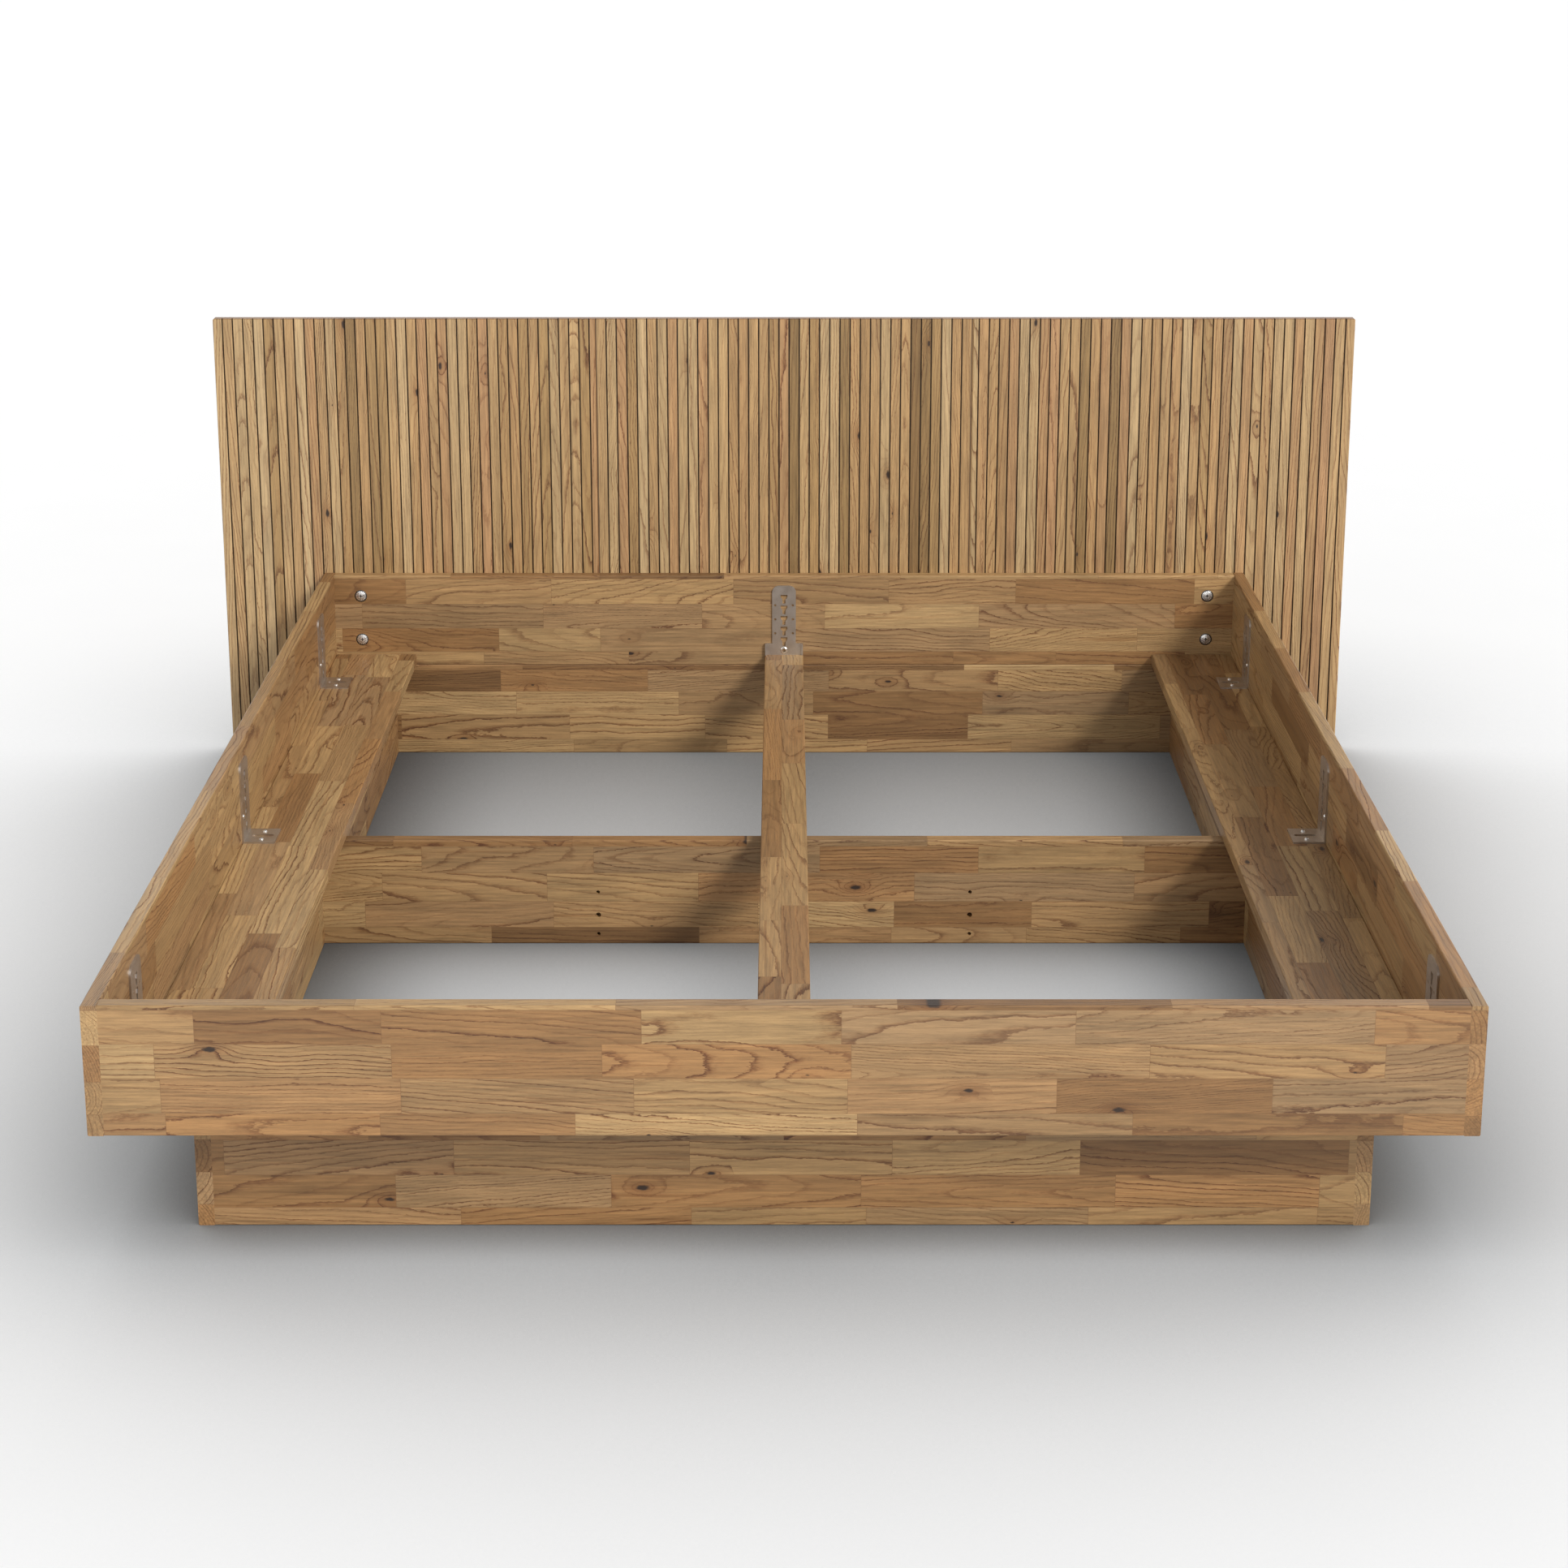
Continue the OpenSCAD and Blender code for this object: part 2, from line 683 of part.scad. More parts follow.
side_rail(LEFT);  // side_rail_left
side_rail(RIGHT);  // side_rail_right
end_rail(FOOT);  // footboard
end_rail(HEAD);  // head_rail
base_cross_board(cross_ys[0], false);  // base_front
base_cross_board(cross_ys[1], true);  // base_cross
base_cross_board(cross_ys[2], false);  // base_back
base_side(LEFT);  // base_side_left
base_side(RIGHT);  // base_side_right
support_board(LEFT);  // support_board_left
support_board(RIGHT);  // support_board_right
centre_beam();
centre_bracket(FOOT);  // centre_bracket_foot
centre_bracket(HEAD);  // centre_bracket_head
eyelet(FOOT);  // eyelet_foot
eyelet(HEAD);  // eyelet_head
angle_bracket(LEFT, FOOT);  // angle_bracket_left_foot
angle_bracket(LEFT, 0);  // angle_bracket_left_middle
angle_bracket(LEFT, HEAD);  // angle_bracket_left_head
angle_bracket(RIGHT, FOOT);  // angle_bracket_right_foot
angle_bracket(RIGHT, 0);  // angle_bracket_right_middle
angle_bracket(RIGHT, HEAD);  // angle_bracket_right_head
angle_leg_screws();
angle_pan_screws();
angle_foot_screws();
centre_bracket_screws();
beam_screws();
cam(FOOT, LEFT, 1);  // cam_foot_left_upper
cam(FOOT, LEFT, 0);  // cam_foot_left_lower
cam(FOOT, RIGHT, 1);  // cam_foot_right_upper
cam(FOOT, RIGHT, 0);  // cam_foot_right_lower
cam(HEAD, LEFT, 1);  // cam_head_left_upper
cam(HEAD, LEFT, 0);  // cam_head_left_lower
cam(HEAD, RIGHT, 1);  // cam_head_right_upper
cam(HEAD, RIGHT, 0);  // cam_head_right_lower
cam_bolts(FOOT);  // cam_bolts_foot
cam_bolts(HEAD);  // cam_bolts_head
rail_dowels();
base_dowels();
base_screws();
board_dowels();
headboard_side(LEFT);  // headboard_left
headboard_centre();
headboard_side(RIGHT);  // headboard_right
batten(batten_zs()[1]);  // batten_upper
batten(batten_zs()[0]);  // batten_lower
batten_screws();
headboard_bolts();
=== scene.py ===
"""Looks for the oak bed frame: glued oak boards, grooved slats, satin steel brackets, bright cams and a
pale studio. Every length is in metres."""

import json
import math

import bpy
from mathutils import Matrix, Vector


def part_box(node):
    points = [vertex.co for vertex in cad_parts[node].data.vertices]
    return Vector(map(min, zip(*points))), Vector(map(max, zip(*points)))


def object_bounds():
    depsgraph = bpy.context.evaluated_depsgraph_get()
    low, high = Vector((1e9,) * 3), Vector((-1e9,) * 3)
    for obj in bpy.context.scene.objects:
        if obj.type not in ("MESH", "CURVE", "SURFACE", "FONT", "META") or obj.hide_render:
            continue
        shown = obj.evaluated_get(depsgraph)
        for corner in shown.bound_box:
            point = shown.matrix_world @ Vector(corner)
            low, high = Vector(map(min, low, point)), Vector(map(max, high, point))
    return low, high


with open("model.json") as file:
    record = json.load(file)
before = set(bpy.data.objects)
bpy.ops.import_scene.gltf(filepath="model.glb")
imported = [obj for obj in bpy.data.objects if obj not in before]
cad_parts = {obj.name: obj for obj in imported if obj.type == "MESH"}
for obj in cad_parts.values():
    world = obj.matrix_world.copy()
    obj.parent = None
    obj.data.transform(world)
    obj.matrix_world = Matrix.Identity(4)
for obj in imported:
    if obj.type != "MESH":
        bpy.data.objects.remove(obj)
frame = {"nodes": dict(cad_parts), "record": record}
CAD_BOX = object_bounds()

X, Y, Z = 0, 1, 2
BED_HIGH = CAD_BOX[1]
FLOOR_Z = CAD_BOX[0][Z]

# ---- Camera, at the photograph's viewing angle ----

CAMERA_PLACE = (0, -4.49, 1.96)
CAMERA_TILT = math.radians(14.03)
CAMERA_SENSOR = 36                      # mm
CAMERA_LENS = 65.22                     # mm
CAMERA_SHIFT = -0.20
CAMERA_REACH = 60


def make_camera():
    data = bpy.data.cameras.new("camera")
    data.sensor_width = CAMERA_SENSOR
    data.lens = CAMERA_LENS
    data.shift_y = CAMERA_SHIFT
    data.dof.use_dof = False
    data.clip_end = CAMERA_REACH
    camera = bpy.data.objects.new("camera", data)
    camera.location = CAMERA_PLACE
    camera.rotation_euler = (math.pi / 2 - CAMERA_TILT, 0, 0)
    bpy.context.collection.objects.link(camera)
    bpy.context.scene.camera = camera


# ---- Short ways to build node trees ----


class Tree:
    """Adds nodes to a node tree. Each call returns the node's sockets, so that calls read like sums."""

    def __init__(self, tree):
        self.tree = tree

    def node(self, kind, ins=(), **settings):
        made = self.tree.nodes.new("ShaderNode" + kind)
        for name, value in settings.items():
            setattr(made, name, value)
        for name, value in dict(ins).items():
            self.put(made.inputs[name], value)
        return made

    def put(self, socket, value):
        if isinstance(value, bpy.types.NodeSocket):
            self.tree.links.new(value, socket)
        elif socket.type == "VECTOR":
            socket.default_value = value[:3]
        else:
            socket.default_value = value

    def math(self, operation, *values):
        return self.node("Math", dict(enumerate(values)), operation=operation).outputs[0]

    def add(self, a, b):
        return self.math("ADD", a, b)

    def sub(self, a, b):
        return self.math("SUBTRACT", a, b)

    def mul(self, a, b):
        return self.math("MULTIPLY", a, b)

    def mul_add(self, a, b, c):
        return self.math("MULTIPLY_ADD", a, b, c)

    def centred(self, value):
        """Value from 0 to 1, moved to run from -0.5 to 0.5."""
        return self.sub(value, 0.5)

    def length(self, a, b):
        return self.math("SQRT", self.add(self.mul(a, a), self.mul(b, b)))

    def step(self, value, low, high, to_low=0.0, to_high=1.0):
        """Smooth change from to_low to to_high as value goes from low to high."""
        ins = {"Value": value, "From Min": low, "From Max": high, "To Min": to_low, "To Max": to_high}
        return self.node("MapRange", ins, interpolation_type="SMOOTHSTEP").outputs[0]

    def split(self, vector):
        return self.node("SeparateXYZ", {0: vector}).outputs

    def join(self, x, y, z):
        return self.node("CombineXYZ", {0: x, 1: y, 2: z}).outputs[0]

    def split_color(self, color):
        return self.node("SeparateColor", {0: color}).outputs

    def object_place(self):
        return self.node("TexCoord").outputs["Object"]

    def noise(self, vector, detail=2.0, rough=0.5, scale=1.0):
        ins = {"Vector": vector, "Scale": scale, "Detail": detail, "Roughness": rough}
        return self.node("TexNoise", ins).outputs["Fac"]

    def drawn_noise(self, place, per_metre, detail=2.0, rough=0.5):
        """Noise with a frequency of its own along each of the three axes."""
        return self.noise(self.join(*(self.mul(p, f) for p, f in zip(place, per_metre))), detail, rough)

    def random(self, value):
        """Three random numbers from 0 to 1 that depend only on value."""
        made = self.node("TexWhiteNoise", {"W": value}, noise_dimensions="1D")
        return self.split_color(made.outputs["Color"])

    def cell(self, value, spread):
        """Cells of random length along a line: each cell's middle, and the way to its nearest end."""
        ins = {"W": value, "Scale": 1.0, "Randomness": spread}
        middle = self.node("TexVoronoi", ins, voronoi_dimensions="1D", feature="F1").outputs["W"]
        edge = self.node("TexVoronoi", ins, voronoi_dimensions="1D", feature="DISTANCE_TO_EDGE")
        return middle, edge.outputs["Distance"]

    def mix(self, amount, a, b, blend="MIX"):
        made = self.node("Mix", data_type="RGBA", blend_type=blend)
        for socket, value in zip((0, 6, 7), (amount, a, b)):    # factor, colour A, colour B
            self.put(made.inputs[socket], value)
        return made.outputs[2]

    def tinted(self, amount, color, tint):
        """Color, multiplied by the tint as far as amount says."""
        return self.mix(amount, color, self.mix(1.0, color, tint, "MULTIPLY"))

    def ramp(self, value, stops):
        made = self.node("ValToRGB", {0: value})
        points = made.color_ramp.elements
        while len(points) < len(stops):
            points.new(0.5)
        for point, (place, color) in zip(points, stops):
            point.position = place
            point.color = color
        return made.outputs[0]

    def scaled(self, color, amount):
        return self.node("VectorMath", {0: color, "Scale": amount}, operation="SCALE").outputs[0]


def rgb(red, green, blue):
    """A colour given as 0 to 255 screen values, turned into the linear values that shaders take."""
    def linear(v):
        v = v / 255
        return v / 12.92 if v <= 0.04045 else ((v + 0.055) / 1.055) ** 2.4
    return (linear(red), linear(green), linear(blue), 1)


def new_material(name):
    material = bpy.data.materials.new(name)
    material.use_nodes = True
    material.node_tree.nodes.clear()
    return material, Tree(material.node_tree)


def finish_material(t, color, roughness, height, metallic=0.0, specular=0.5):
    """Ends a material; height is in metres."""
    normal = t.node("Bump", {"Height": height, "Distance": 1.0, "Strength": 1.0}).outputs[0]
    ins = {"Base Color": color, "Roughness": roughness, "Metallic": metallic,
           "Specular IOR Level": specular, "Normal": normal}
    t.node("OutputMaterial", {"Surface": t.node("BsdfPrincipled", ins).outputs[0]})


# ---- The grain of oak ----

# Tones of single pieces of wood, each with its place on the ramp
OAK_TONES = [
    (0.00, rgb(206, 172, 124)),
    (0.20, rgb(196, 160, 112)),
    (0.42, rgb(186, 149, 104)),
    (0.58, rgb(180, 147, 108)),
    (0.72, rgb(184, 140, 92)),
    (0.88, rgb(168, 128, 84)),
    (1.00, rgb(146, 109, 70)),
]
SLAT_TONES = [
    (0.00, rgb(216, 187, 144)),
    (0.30, rgb(208, 176, 130)),
    (0.60, rgb(202, 164, 116)),
    (0.75, rgb(200, 158, 116)),
    (0.90, rgb(188, 154, 106)),
    (0.97, rgb(164, 134, 90)),
    (1.00, rgb(154, 122, 80)),
]
BATTEN_TONES = [(0.0, rgb(190, 152, 110)), (1.0, rgb(176, 138, 98))]
BEECH_TONES = [(0.0, rgb(222, 190, 150)), (1.0, rgb(210, 174, 132))]
OAK_DEPTH = (0.550, 0.525, 0.475, 1)    # multiplies every tone at the end

# What the parts of the grain do to a piece's tone
EARLY_TINT = rgb(186, 152, 120)
LINE_TINT = rgb(150, 106, 78)
STREAK_TINT = rgb(190, 160, 130)
SWIRL_TINT = rgb(186, 146, 110)
PORE_COLOR = rgb(104, 72, 42)
CORE_COLOR = rgb(62, 44, 32)

# A knot's cell, along and across the grain, and the share of cells that have none
KNOT_CELL = (0.13, 0.055)
KNOT_FREE = 0.90
KNOT_FALL = -22.0                       # how fast the swirl dies away from the knot
KNOT_WOBBLE = 0.05

# The tree's heart, beside the piece and in depth, and how far the rings taper along it. In each pair here
# and in the next block the first number is the random part and the second is the least value.
HEART_SIDE = 0.11
HEART_DEPTH = (0.085, 0.016)
TAPER = 0.17
RING_WIDTH = (0.0050, 0.0030)

# How far each noise bends the rings
BROAD_BEND_BY = (0.022, 0.006)
FINE_BEND_BY = 0.0035
RIPPLE_BY = 0.0018
SWIRL_BY = 0.016

# Noise frequencies along, across and through the grain, per metre
WOBBLE = (160.0, 300.0)
BROAD_BEND = (5.5, 16.0, 16.0)
FINE_BEND = (34.0, 75.0, 75.0)
RIPPLE = (130.0, 700.0, 700.0)
PORES = (95.0, 1500.0, 1500.0)
FIBRES = (13.0, 310.0, 310.0)
SOFT = (4.0, 45.0, 45.0)
STREAKS = (3.0, 110.0, 60.0)

# Relief in metres
EARLY_RELIEF = -0.00005
PORE_RELIEF = -0.00007
FIBRE_RELIEF = 0.00005
CORE_RELIEF = -0.0001
JOINT_RELIEF = -0.00006

GRAIN_INPUTS = ("Along", "Across", "Through", "Piece", "Tone")
GRAIN_OUTPUTS = ("Color", "Rough", "Height")


def knot_parts(t, u, v, shifted_u, r5, r6):
    """A knot here and there: the swirl of the grain round it, and its dark core."""
    knot_u = t.mul_add(r5, 31.0, t.mul(u, 1 / KNOT_CELL[0]))
    knot_v = t.mul_add(r6, 17.0, t.mul(v, 1 / KNOT_CELL[1]))
    ins = {"Vector": t.join(knot_u, knot_v, 0.0), "Scale": 1.0, "Randomness": 1.0}
    knots = t.node("TexVoronoi", ins, voronoi_dimensions="2D", feature="F1").outputs
    chance, size = t.split_color(knots["Color"])[:2]
    there = t.math("GREATER_THAN", chance, KNOT_FREE)
    wobble = t.noise(t.join(t.mul(shifted_u, WOBBLE[0]), t.mul(v, WOBBLE[1]), 0.0))
    way = t.add(knots["Distance"], t.mul(t.centred(wobble), KNOT_WOBBLE))
    near = t.math("EXPONENT", t.mul(t.mul(way, way), KNOT_FALL))
    swirl = t.mul(t.mul(near, there), t.step(size, 0.0, 1.0, 0.4, 1.0))
    core_full = t.step(size, 0.3, 1.0, 0.005, 0.05)
    core_end = t.step(size, 0.3, 1.0, 0.03, 0.10)
    core = t.mul(t.step(way, core_full, core_end, 1.0, 0.0), there)
    return swirl, core


def ring_parts(t, place, piece, swirl, numbers):
    """Rings round a heart beside the piece: each year's early wood, and the dark line where it starts."""
    u, v, w, shifted_u = place
    r1, r2, r3, r4, r5 = numbers
    heart_v = t.mul_add(t.centred(r1), HEART_SIDE, v)
    heart_w = t.add(t.mul_add(r2, *HEART_DEPTH), w)
    radius = t.length(heart_v, heart_w)
    taper = t.mul(t.mul(t.centred(r3), TAPER), u)
    drawn = (shifted_u, v, w)
    broad = t.drawn_noise(drawn, BROAD_BEND, detail=1.5)
    fine = t.drawn_noise(drawn, FINE_BEND)
    ripple = t.drawn_noise(drawn, RIPPLE)
    bend = t.mul(t.centred(broad), t.mul_add(r4, *BROAD_BEND_BY))
    bend = t.add(bend, t.mul(t.centred(fine), FINE_BEND_BY))
    bend = t.add(bend, t.mul(t.centred(ripple), RIPPLE_BY))
    depth = t.add(t.add(radius, taper), t.mul_add(swirl, SWIRL_BY, bend))
    rings = t.math("DIVIDE", depth, t.mul_add(r5, *RING_WIDTH))
    phase = t.math("FRACT", rings)
    year = t.random(t.math("FLOOR", t.mul_add(piece, 7.0, rings)))[0]
    early = t.mul(t.step(phase, 0.0, 0.06), t.step(phase, 0.08, 0.42, 1.0, 0.0))
    early = t.mul(early, t.step(year, 0.0, 1.0, 0.30, 1.0))
    line = t.mul(t.step(phase, 0.0, 0.04), t.step(phase, 0.05, 0.20, 1.0, 0.0))
    line = t.mul(line, t.step(year, 0.15, 0.9, 0.2, 1.0))
    return early, line


def make_grain():
    """Node group: the grain of one piece of oak. Along, Across and Through are metres from the piece's
    middle, Piece is a number of its own, and Tone is its colour."""
    group = bpy.data.node_groups.new("oak_grain", "ShaderNodeTree")
    for way, names in (("INPUT", GRAIN_INPUTS), ("OUTPUT", GRAIN_OUTPUTS)):
        for name in names:
            kind = "NodeSocketColor" if name in ("Tone", "Color") else "NodeSocketFloat"
            group.interface.new_socket(name, in_out=way, socket_type=kind)
    t = Tree(group)
    given = group.nodes.new("NodeGroupInput").outputs
    u, v, w, piece = (given[name] for name in GRAIN_INPUTS[:4])
    r1, r2, r3 = t.random(piece)[:3]
    r4, r5, r6 = t.random(t.mul_add(piece, 3.7, 11.3))[:3]
    shifted_u = t.mul_add(r4, 40.0, u)
    swirl, core = knot_parts(t, u, v, shifted_u, r5, r6)
    early, line = ring_parts(t, (u, v, w, shifted_u), piece, swirl, (r1, r2, r3, r4, r5))

    # Pores, fibres and darker streaks, all drawn out along the grain
    drawn = (shifted_u, v, w)
    pores = t.drawn_noise(drawn, PORES, detail=1.0)
    pore = t.mul(t.step(pores, 0.56, 0.68), t.mul_add(early, 0.75, 0.25))
    fibres = t.drawn_noise(drawn, FIBRES, detail=4.0, rough=0.65)
    soft = t.drawn_noise(drawn, SOFT)
    streak = t.step(t.drawn_noise(drawn, STREAKS, detail=3.0), 0.60, 0.76)

    light = t.mul_add(t.centred(fibres), 1.5, t.mul_add(t.centred(soft), 0.65, 1.06))
    color = t.scaled(given["Tone"], light)
    color = t.tinted(t.mul(early, t.mul_add(r6, 0.35, 0.45)), color, EARLY_TINT)
    color = t.tinted(t.mul(line, t.mul_add(r6, 0.4, 0.35)), color, LINE_TINT)
    color = t.tinted(t.mul(streak, t.mul_add(r3, 0.5, 0.1)), color, STREAK_TINT)
    color = t.mix(t.mul(pore, 0.55), color, PORE_COLOR)
    color = t.tinted(t.mul(swirl, 0.55), color, SWIRL_TINT)
    color = t.mix(core, color, CORE_COLOR)
    color = t.mix(1.0, color, OAK_DEPTH, "MULTIPLY")

    rough = t.mul_add(early, 0.10, t.mul_add(t.centred(fibres), 0.20, 0.44))
    height = t.mul_add(pore, PORE_RELIEF, t.mul(fibres, FIBRE_RELIEF))
    height = t.mul_add(early, EARLY_RELIEF, height)
    height = t.mul_add(core, CORE_RELIEF, height)
    out = group.nodes.new("NodeGroupOutput")
    for name, value in zip(GRAIN_OUTPUTS, (color, rough, height)):
        t.put(out.inputs[name], value)
    return group


GRAIN = make_grain()


def grain(t, along, across, through, piece, tone):
    made = t.tree.nodes.new("ShaderNodeGroup")
    made.node_tree = GRAIN
    for name, value in zip(GRAIN_INPUTS, (along, across, through, piece, tone)):
        t.put(made.inputs[name], value)
    return [made.outputs[name] for name in GRAIN_OUTPUTS]


# ---- Oak boards, slats and sticks ----

STAVE_WIDTH = 0.0495
STAVE_LENGTH = 0.31
STAVE_SPREAD = (0.25, 0.8)              # how uneven the widths and the lengths are
GLUE_LINE = (0.0002, 0.0007)            # from a stave's edge, where the line is full and where it ends
GLUE_COLOR = rgb(110, 76, 44)

# The headboard's slats, as in part.scad
SLAT_PITCH = 0.02005
EDGE_SLAT = 0.0187
GROOVE_WIDTH = 0.0024
GROOVE_DEPTH = 0.005
GROOVE_SKIN = 0.0001                    # how far past a groove the painted shade of its walls reaches
# Painted shade for the grooves: a dark colour laid on their walls and floor, where shadow falls
GROOVE_SHADE_COLOR = rgb(66, 47, 30)
END_GRAIN_TINT = rgb(158, 124, 92)

STICKS_PER_METRE = 8.0                  # cells across a stick material, each with a tone of its own


def board_material(name, node, along, across, through, seed):
    """Glued board: rows of staves that run along axis `along` and lie side by side along axis `across`."""
    material, t = new_material(name)
    low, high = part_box(node)
    place = t.split(t.object_place())
    u = t.sub(place[along], low[along])
    v = t.sub(place[across], low[across])
    w = t.sub(place[through], (low[through] + high[through]) / 2)
    rows = t.mul_add(v, 1 / STAVE_WIDTH, seed * 13.0)
    row_middle, row_edge = t.cell(rows, STAVE_SPREAD[0])
    lane = t.mul_add(row_middle, 37.17, seed * 3.0)
    staves = t.mul_add(u, 1 / STAVE_LENGTH, lane)
    stave_middle, stave_edge = t.cell(staves, STAVE_SPREAD[1])
    piece = t.mul_add(stave_middle, 5.31, row_middle)
    tone_pick = t.random(t.mul_add(piece, 1.7, 4.2))
    tone = t.ramp(tone_pick[0], OAK_TONES)
    tone = t.scaled(tone, t.mul_add(tone_pick[1], 0.24, 0.90))
    from_row = t.mul(t.sub(rows, row_middle), STAVE_WIDTH)
    from_stave = t.mul(t.sub(staves, stave_middle), STAVE_LENGTH)
    color, rough, height = grain(t, from_stave, from_row, w, piece, tone)
    gap = t.math("MINIMUM", t.mul(row_edge, STAVE_WIDTH), t.mul(stave_edge, STAVE_LENGTH))
    joint = t.step(gap, *GLUE_LINE, 1.0, 0.0)
    color = t.mix(t.mul(joint, 0.45), color, GLUE_COLOR)
    height = t.mul_add(joint, JOINT_RELIEF, height)
    finish_material(t, color, rough, height)
    return material


def slat_material(name, first, seed):
    """Upright slats a pitch apart, from the X of the panel's first groove."""
    material, t = new_material(name)
    place = t.split(t.object_place())
    across = t.mul(t.sub(place[X], first), 1 / SLAT_PITCH)
    index = t.math("FLOOR", across)
    v = t.mul(t.centred(t.sub(across, index)), SLAT_PITCH)
    w = t.sub(place[Y], BED_HIGH[Y])
    piece = t.mul_add(index, 1.37, seed * 11.0)
    tone_pick = t.random(t.mul_add(piece, 2.3, 1.9))
    tone = t.ramp(tone_pick[0], SLAT_TONES)
    tone = t.scaled(tone, t.mul_add(tone_pick[1], 0.12, 1.02))
    color, rough, height = grain(t, place[Z], v, w, piece, tone)
    groove_start = (SLAT_PITCH - GROOVE_WIDTH) / 2 - GROOVE_SKIN
    in_groove = t.math("GREATER_THAN", t.math("ABSOLUTE", v), groove_start)
    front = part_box("headboard_centre")[0][Y]
    near_front = t.math("LESS_THAN", place[Y], front + GROOVE_DEPTH + GROOVE_SKIN)
    # Painted shade in the grooves near the panel's front
    color = t.mix(t.mul(t.mul(in_groove, near_front), 0.85), color, GROOVE_SHADE_COLOR)
    upward = t.split(t.node("TexCoord").outputs["Normal"])[Z]
    color = t.tinted(t.mul(t.step(upward, 0.4, 0.9), 0.75), color, END_GRAIN_TINT)
    finish_material(t, color, rough, height)
    return material


def stick_material(name, axes, tones, seed):
    """Single pieces of wood, one tone each, with the grain along the first axis."""
    material, t = new_material(name)
    place = t.split(t.object_place())
    along, across, through = (place[axis] for axis in axes)
    piece = t.mul_add(t.math("FLOOR", t.mul(across, STICKS_PER_METRE)), 1.9, seed)
    tone = t.ramp(t.random(piece)[0], tones)
    color, rough, height = grain(t, along, across, through, piece, tone)
    finish_material(t, color, t.add(rough, 0.12), height)
    return material


# ---- Metal ----

ZINC_COLOR = rgb(232, 230, 227)
PLATE_COLOR = rgb(196, 189, 181)
CAM_COLOR = rgb(246, 245, 243)
# Painted shade for the cams' rims and the faces behind them
CAM_SHADE_COLOR = rgb(46, 40, 35)
SPECK_TINT = (0.45, 0.42, 0.38, 1)

# Noise frequencies, per metre
BRUSHED_ALONG = 260.0
BRUSHED_ACROSS = 5200.0
CLOUDS = 55.0
SPECKS = 900.0

BRUSH_RELIEF = 0.000012
CLOUD_RELIEF = 0.00004
CAM_DOME = -22.0                        # per metre: the face falls away by 26 degrees at its rim
CAM_RIM_SHADE = (0.0092, 0.0108)              # from a cam's axis, where the painted shade of the rim starts and where it is full
CAM_RECESS_SHADE = (0.0001, 0.0005)           # the same for the painted shade behind a cam's face


def metal_material(name, color, rough, across, wear, metallic=1.0, cam=None):
    """Metal with fine lines across axis `across`, small specks and soft changes of gloss. The cam node that is
    named gets a domed face, and painted shade on its rim and on the faces behind it."""
    material, t = new_material(name)
    place = t.object_place()
    x, y, z = t.split(place)[:3]
    per_metre = [BRUSHED_ALONG] * 3
    per_metre[across] = BRUSHED_ACROSS
    lines = t.drawn_noise((x, y, z), per_metre)
    clouds = t.noise(place, detail=3.0, scale=CLOUDS)
    specks = t.step(t.noise(place, detail=1.0, scale=SPECKS), 0.66, 0.74)
    shade = t.mul_add(t.centred(lines), 0.16, t.mul_add(t.centred(clouds), 0.22, 1.0))
    base = t.tinted(t.mul(specks, wear), t.scaled(color, shade), SPECK_TINT)
    gloss = t.add(t.mul(t.centred(clouds), 0.18), t.mul(t.centred(lines), 0.10))
    height = t.mul_add(lines, BRUSH_RELIEF, t.mul(clouds, CLOUD_RELIEF))
    if cam:
        low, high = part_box(cam)
        face = low[Y] if low[Y] > 0 else high[Y]
        from_axis = t.length(t.sub(x, (low[X] + high[X]) / 2), t.sub(z, (low[Z] + high[Z]) / 2))
        # Painted shade: the rim and the faces behind the cam's face are darkened where the bore round the cam
        # shades them
        rim_shade = t.step(from_axis, *CAM_RIM_SHADE)
        recess_shade = t.step(t.math("ABSOLUTE", t.sub(y, face)), *CAM_RECESS_SHADE)
        base = t.mix(t.mul(t.math("MAXIMUM", rim_shade, recess_shade), 0.92), base, CAM_SHADE_COLOR)
        height = t.add(height, t.mul(t.mul(from_axis, from_axis), CAM_DOME))
    finish_material(t, base, t.add(rough, gloss), height, metallic=metallic)
    return material


# ---- Dressing the CAD nodes ----

# Boards by the axes along, across and through their staves, in the order of their seeds
BOARDS = [
    ((X, Z, Y), ("footboard", "head_rail", "base_front", "base_back", "base_cross")),
    ((Y, Z, X), ("side_rail_left", "side_rail_right", "base_side_left", "base_side_right")),
    ((Y, X, Z), ("support_board_left", "support_board_right", "centre_beam")),
]
BATTEN_SEED = 20
BEECH_SEED = 40


def dress(name, material):
    slots = frame["nodes"][name].data.materials
    for i in range(len(slots)):
        slots[i] = material


def dress_boards():
    seed = 1
    for axes, names in BOARDS:
        for name in names:
            dress(name, board_material("oak_" + name, name, *axes, seed))
            seed += 1


def dress_headboard():
    first_grooves = {
        "left": EDGE_SLAT - BED_HIGH[X],
        "centre": -SLAT_PITCH / 2,
        "right": BED_HIGH[X] - EDGE_SLAT,
    }
    for seed, (side, first) in enumerate(first_grooves.items(), start=1):
        dress("headboard_" + side, slat_material("oak_slats_" + side, first, seed))
    for seed, name in enumerate(("batten_upper", "batten_lower"), start=BATTEN_SEED):
        dress(name, stick_material("oak_" + name, (X, Z, Y), BATTEN_TONES, seed))


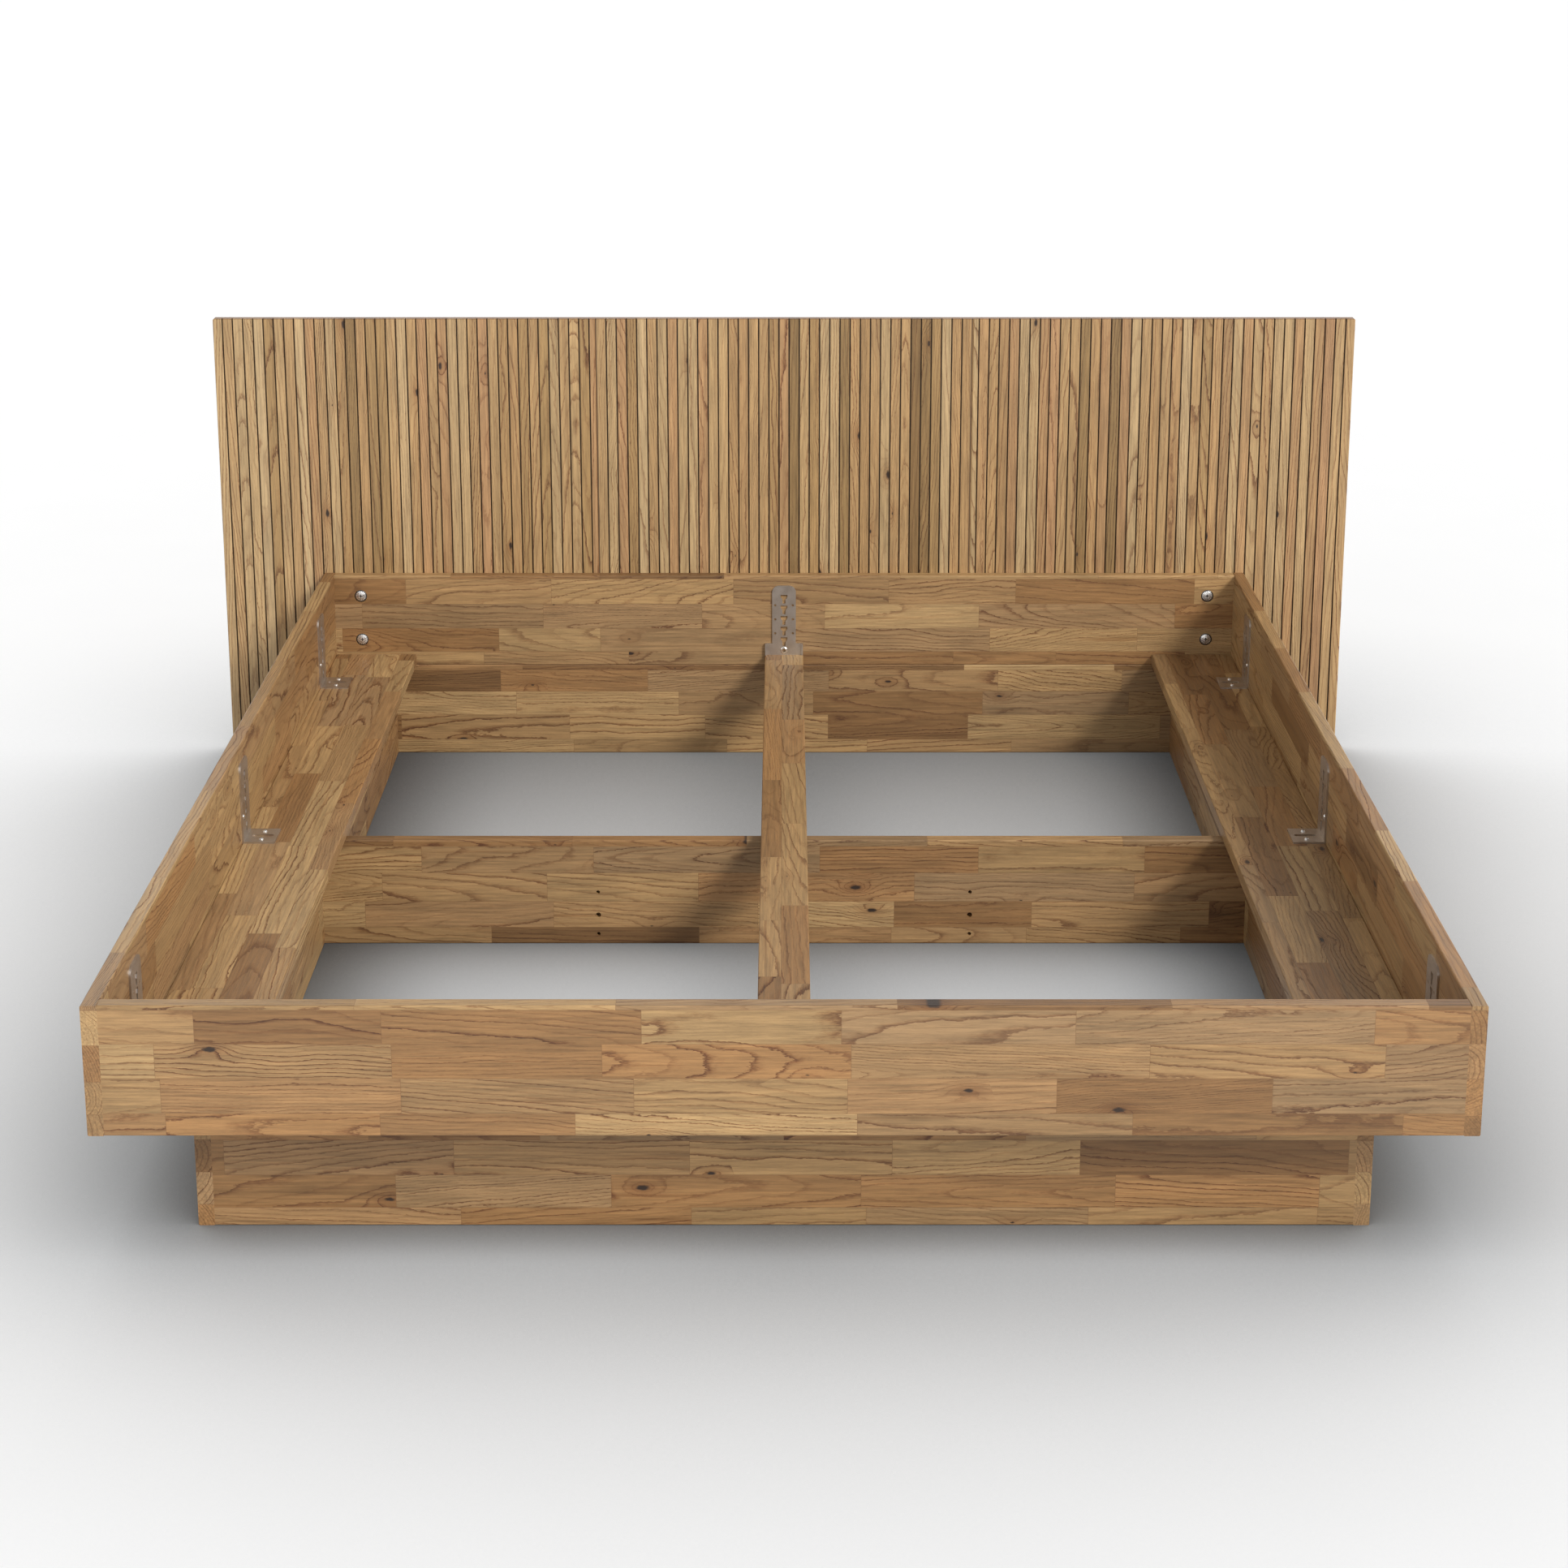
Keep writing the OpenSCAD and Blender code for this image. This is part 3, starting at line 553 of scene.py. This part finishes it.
def dress_fittings():
    by_slot = {
        "zinc_steel": metal_material("bright_zinc", ZINC_COLOR, 0.24, Z, 0.4),
        "bracket_steel": metal_material("satin_steel", PLATE_COLOR, 0.38, X, 0.5),
        "dowel_beech": stick_material("beech", (X, Y, Z), BEECH_TONES, BEECH_SEED),
    }
    for part in frame["record"]["subparts"]:
        name, slot = part["node"], part["material_slot"]
        if slot == "cam_metal":
            cam = metal_material("zinc_" + name, CAM_COLOR, 0.30, X, 0.3, metallic=0.85, cam=name)
            dress(name, cam)
        elif slot in by_slot:
            dress(name, by_slot[slot])


# ---- Studio ----

WORLD_LOW = 1.58                        # strength near the horizon
WORLD_HIGH = 0.40                       # strength overhead
WORLD_RISE = (0.05, 0.85)               # upward part of the direction, from low to high
KEY_STRENGTH = 2.95
KEY_FROM = (0.92, -0.93, 1.0)
KEY_ANGLE = math.radians(16)
FLOOR_LIGHT_STRENGTH = 1.22
FLOOR_LIGHT_FROM = (0, 0, 1)
FLOOR_LIGHT_ANGLE = math.radians(150)
FLOOR_HALF = 30.0
FLOOR_OPEN = rgb(250, 250, 250)
# Floor colour where the painted contact shadow is deepest
FLOOR_SHADED = rgb(240, 249, 255)
CONTACT_SHADOW_REACH = 1.0                     # how near the object must be for the painted contact shadow to darken the floor
CONTACT_SHADOW_SAMPLES = 16
CONTACT_SHADOW_POWER = 1.2
CONTACT_SHADOW_SHARE = 0.95                          # the share of the floor's brightness that the painted contact shadow takes


def make_floor():
    """Wide pale floor with a painted contact shadow round the object, tinted blue where it is deepest; past
    its far edge the white of the world shows.
    """
    corners = [(x * FLOOR_HALF, y * FLOOR_HALF, FLOOR_Z) for x, y in ((-1, -1), (1, -1), (1, 1), (-1, 1))]
    mesh = bpy.data.meshes.new("floor")
    mesh.from_pydata(corners, [], [(0, 1, 2, 3)])
    floor = bpy.data.objects.new("floor", mesh)
    bpy.context.collection.objects.link(floor)
    material, t = new_material("floor")
    cloud = t.noise(t.object_place(), scale=3.0)
    # Painted contact shadow: ambient occlusion darkens and tints the floor near the object
    painted_shadow = t.node("AmbientOcclusion", {"Distance": CONTACT_SHADOW_REACH}, samples=CONTACT_SHADOW_SAMPLES).outputs["AO"]
    painted_shadow = t.math("POWER", painted_shadow, CONTACT_SHADOW_POWER)
    plain = t.mix(painted_shadow, FLOOR_SHADED, FLOOR_OPEN)
    light = t.mul(t.mul_add(cloud, 0.02, 0.98), t.mul_add(painted_shadow, CONTACT_SHADOW_SHARE, 1 - CONTACT_SHADOW_SHARE))
    finish_material(t, t.scaled(plain, light), 0.9, 0.0, specular=0.1)
    mesh.materials.append(material)
    return floor


def make_world():
    """White light, stronger near the horizon than overhead."""
    world = bpy.data.worlds.new("world")
    world.use_nodes = True
    t = Tree(world.node_tree)
    up = t.split(t.node("TexCoord").outputs["Generated"])[Z]
    background = world.node_tree.nodes["Background"]
    background.inputs["Color"].default_value = (1, 1, 1, 1)
    t.put(background.inputs["Strength"], t.step(up, *WORLD_RISE, WORLD_LOW, WORLD_HIGH))
    bpy.context.scene.world = world


def make_sun(name, strength, angle, come_from, receivers):
    """Soft distant light that shines on the receivers only."""
    data = bpy.data.lights.new(name, "SUN")
    data.energy = strength
    data.angle = angle
    light = bpy.data.objects.new(name, data)
    light.rotation_euler = Vector(come_from).to_track_quat("Z", "Y").to_euler()
    bpy.context.collection.objects.link(light)
    lit = bpy.data.collections.new("lit_by_" + name)
    for part in receivers:
        lit.objects.link(part)
    light.light_linking.receiver_collection = lit


make_camera()
dress_boards()
dress_headboard()
dress_fittings()
floor = make_floor()
make_world()
make_sun("key", KEY_STRENGTH, KEY_ANGLE, KEY_FROM, frame["nodes"].values())
make_sun("floor_light", FLOOR_LIGHT_STRENGTH, FLOOR_LIGHT_ANGLE, FLOOR_LIGHT_FROM, [floor])
bpy.context.scene.view_settings.view_transform = "Standard"
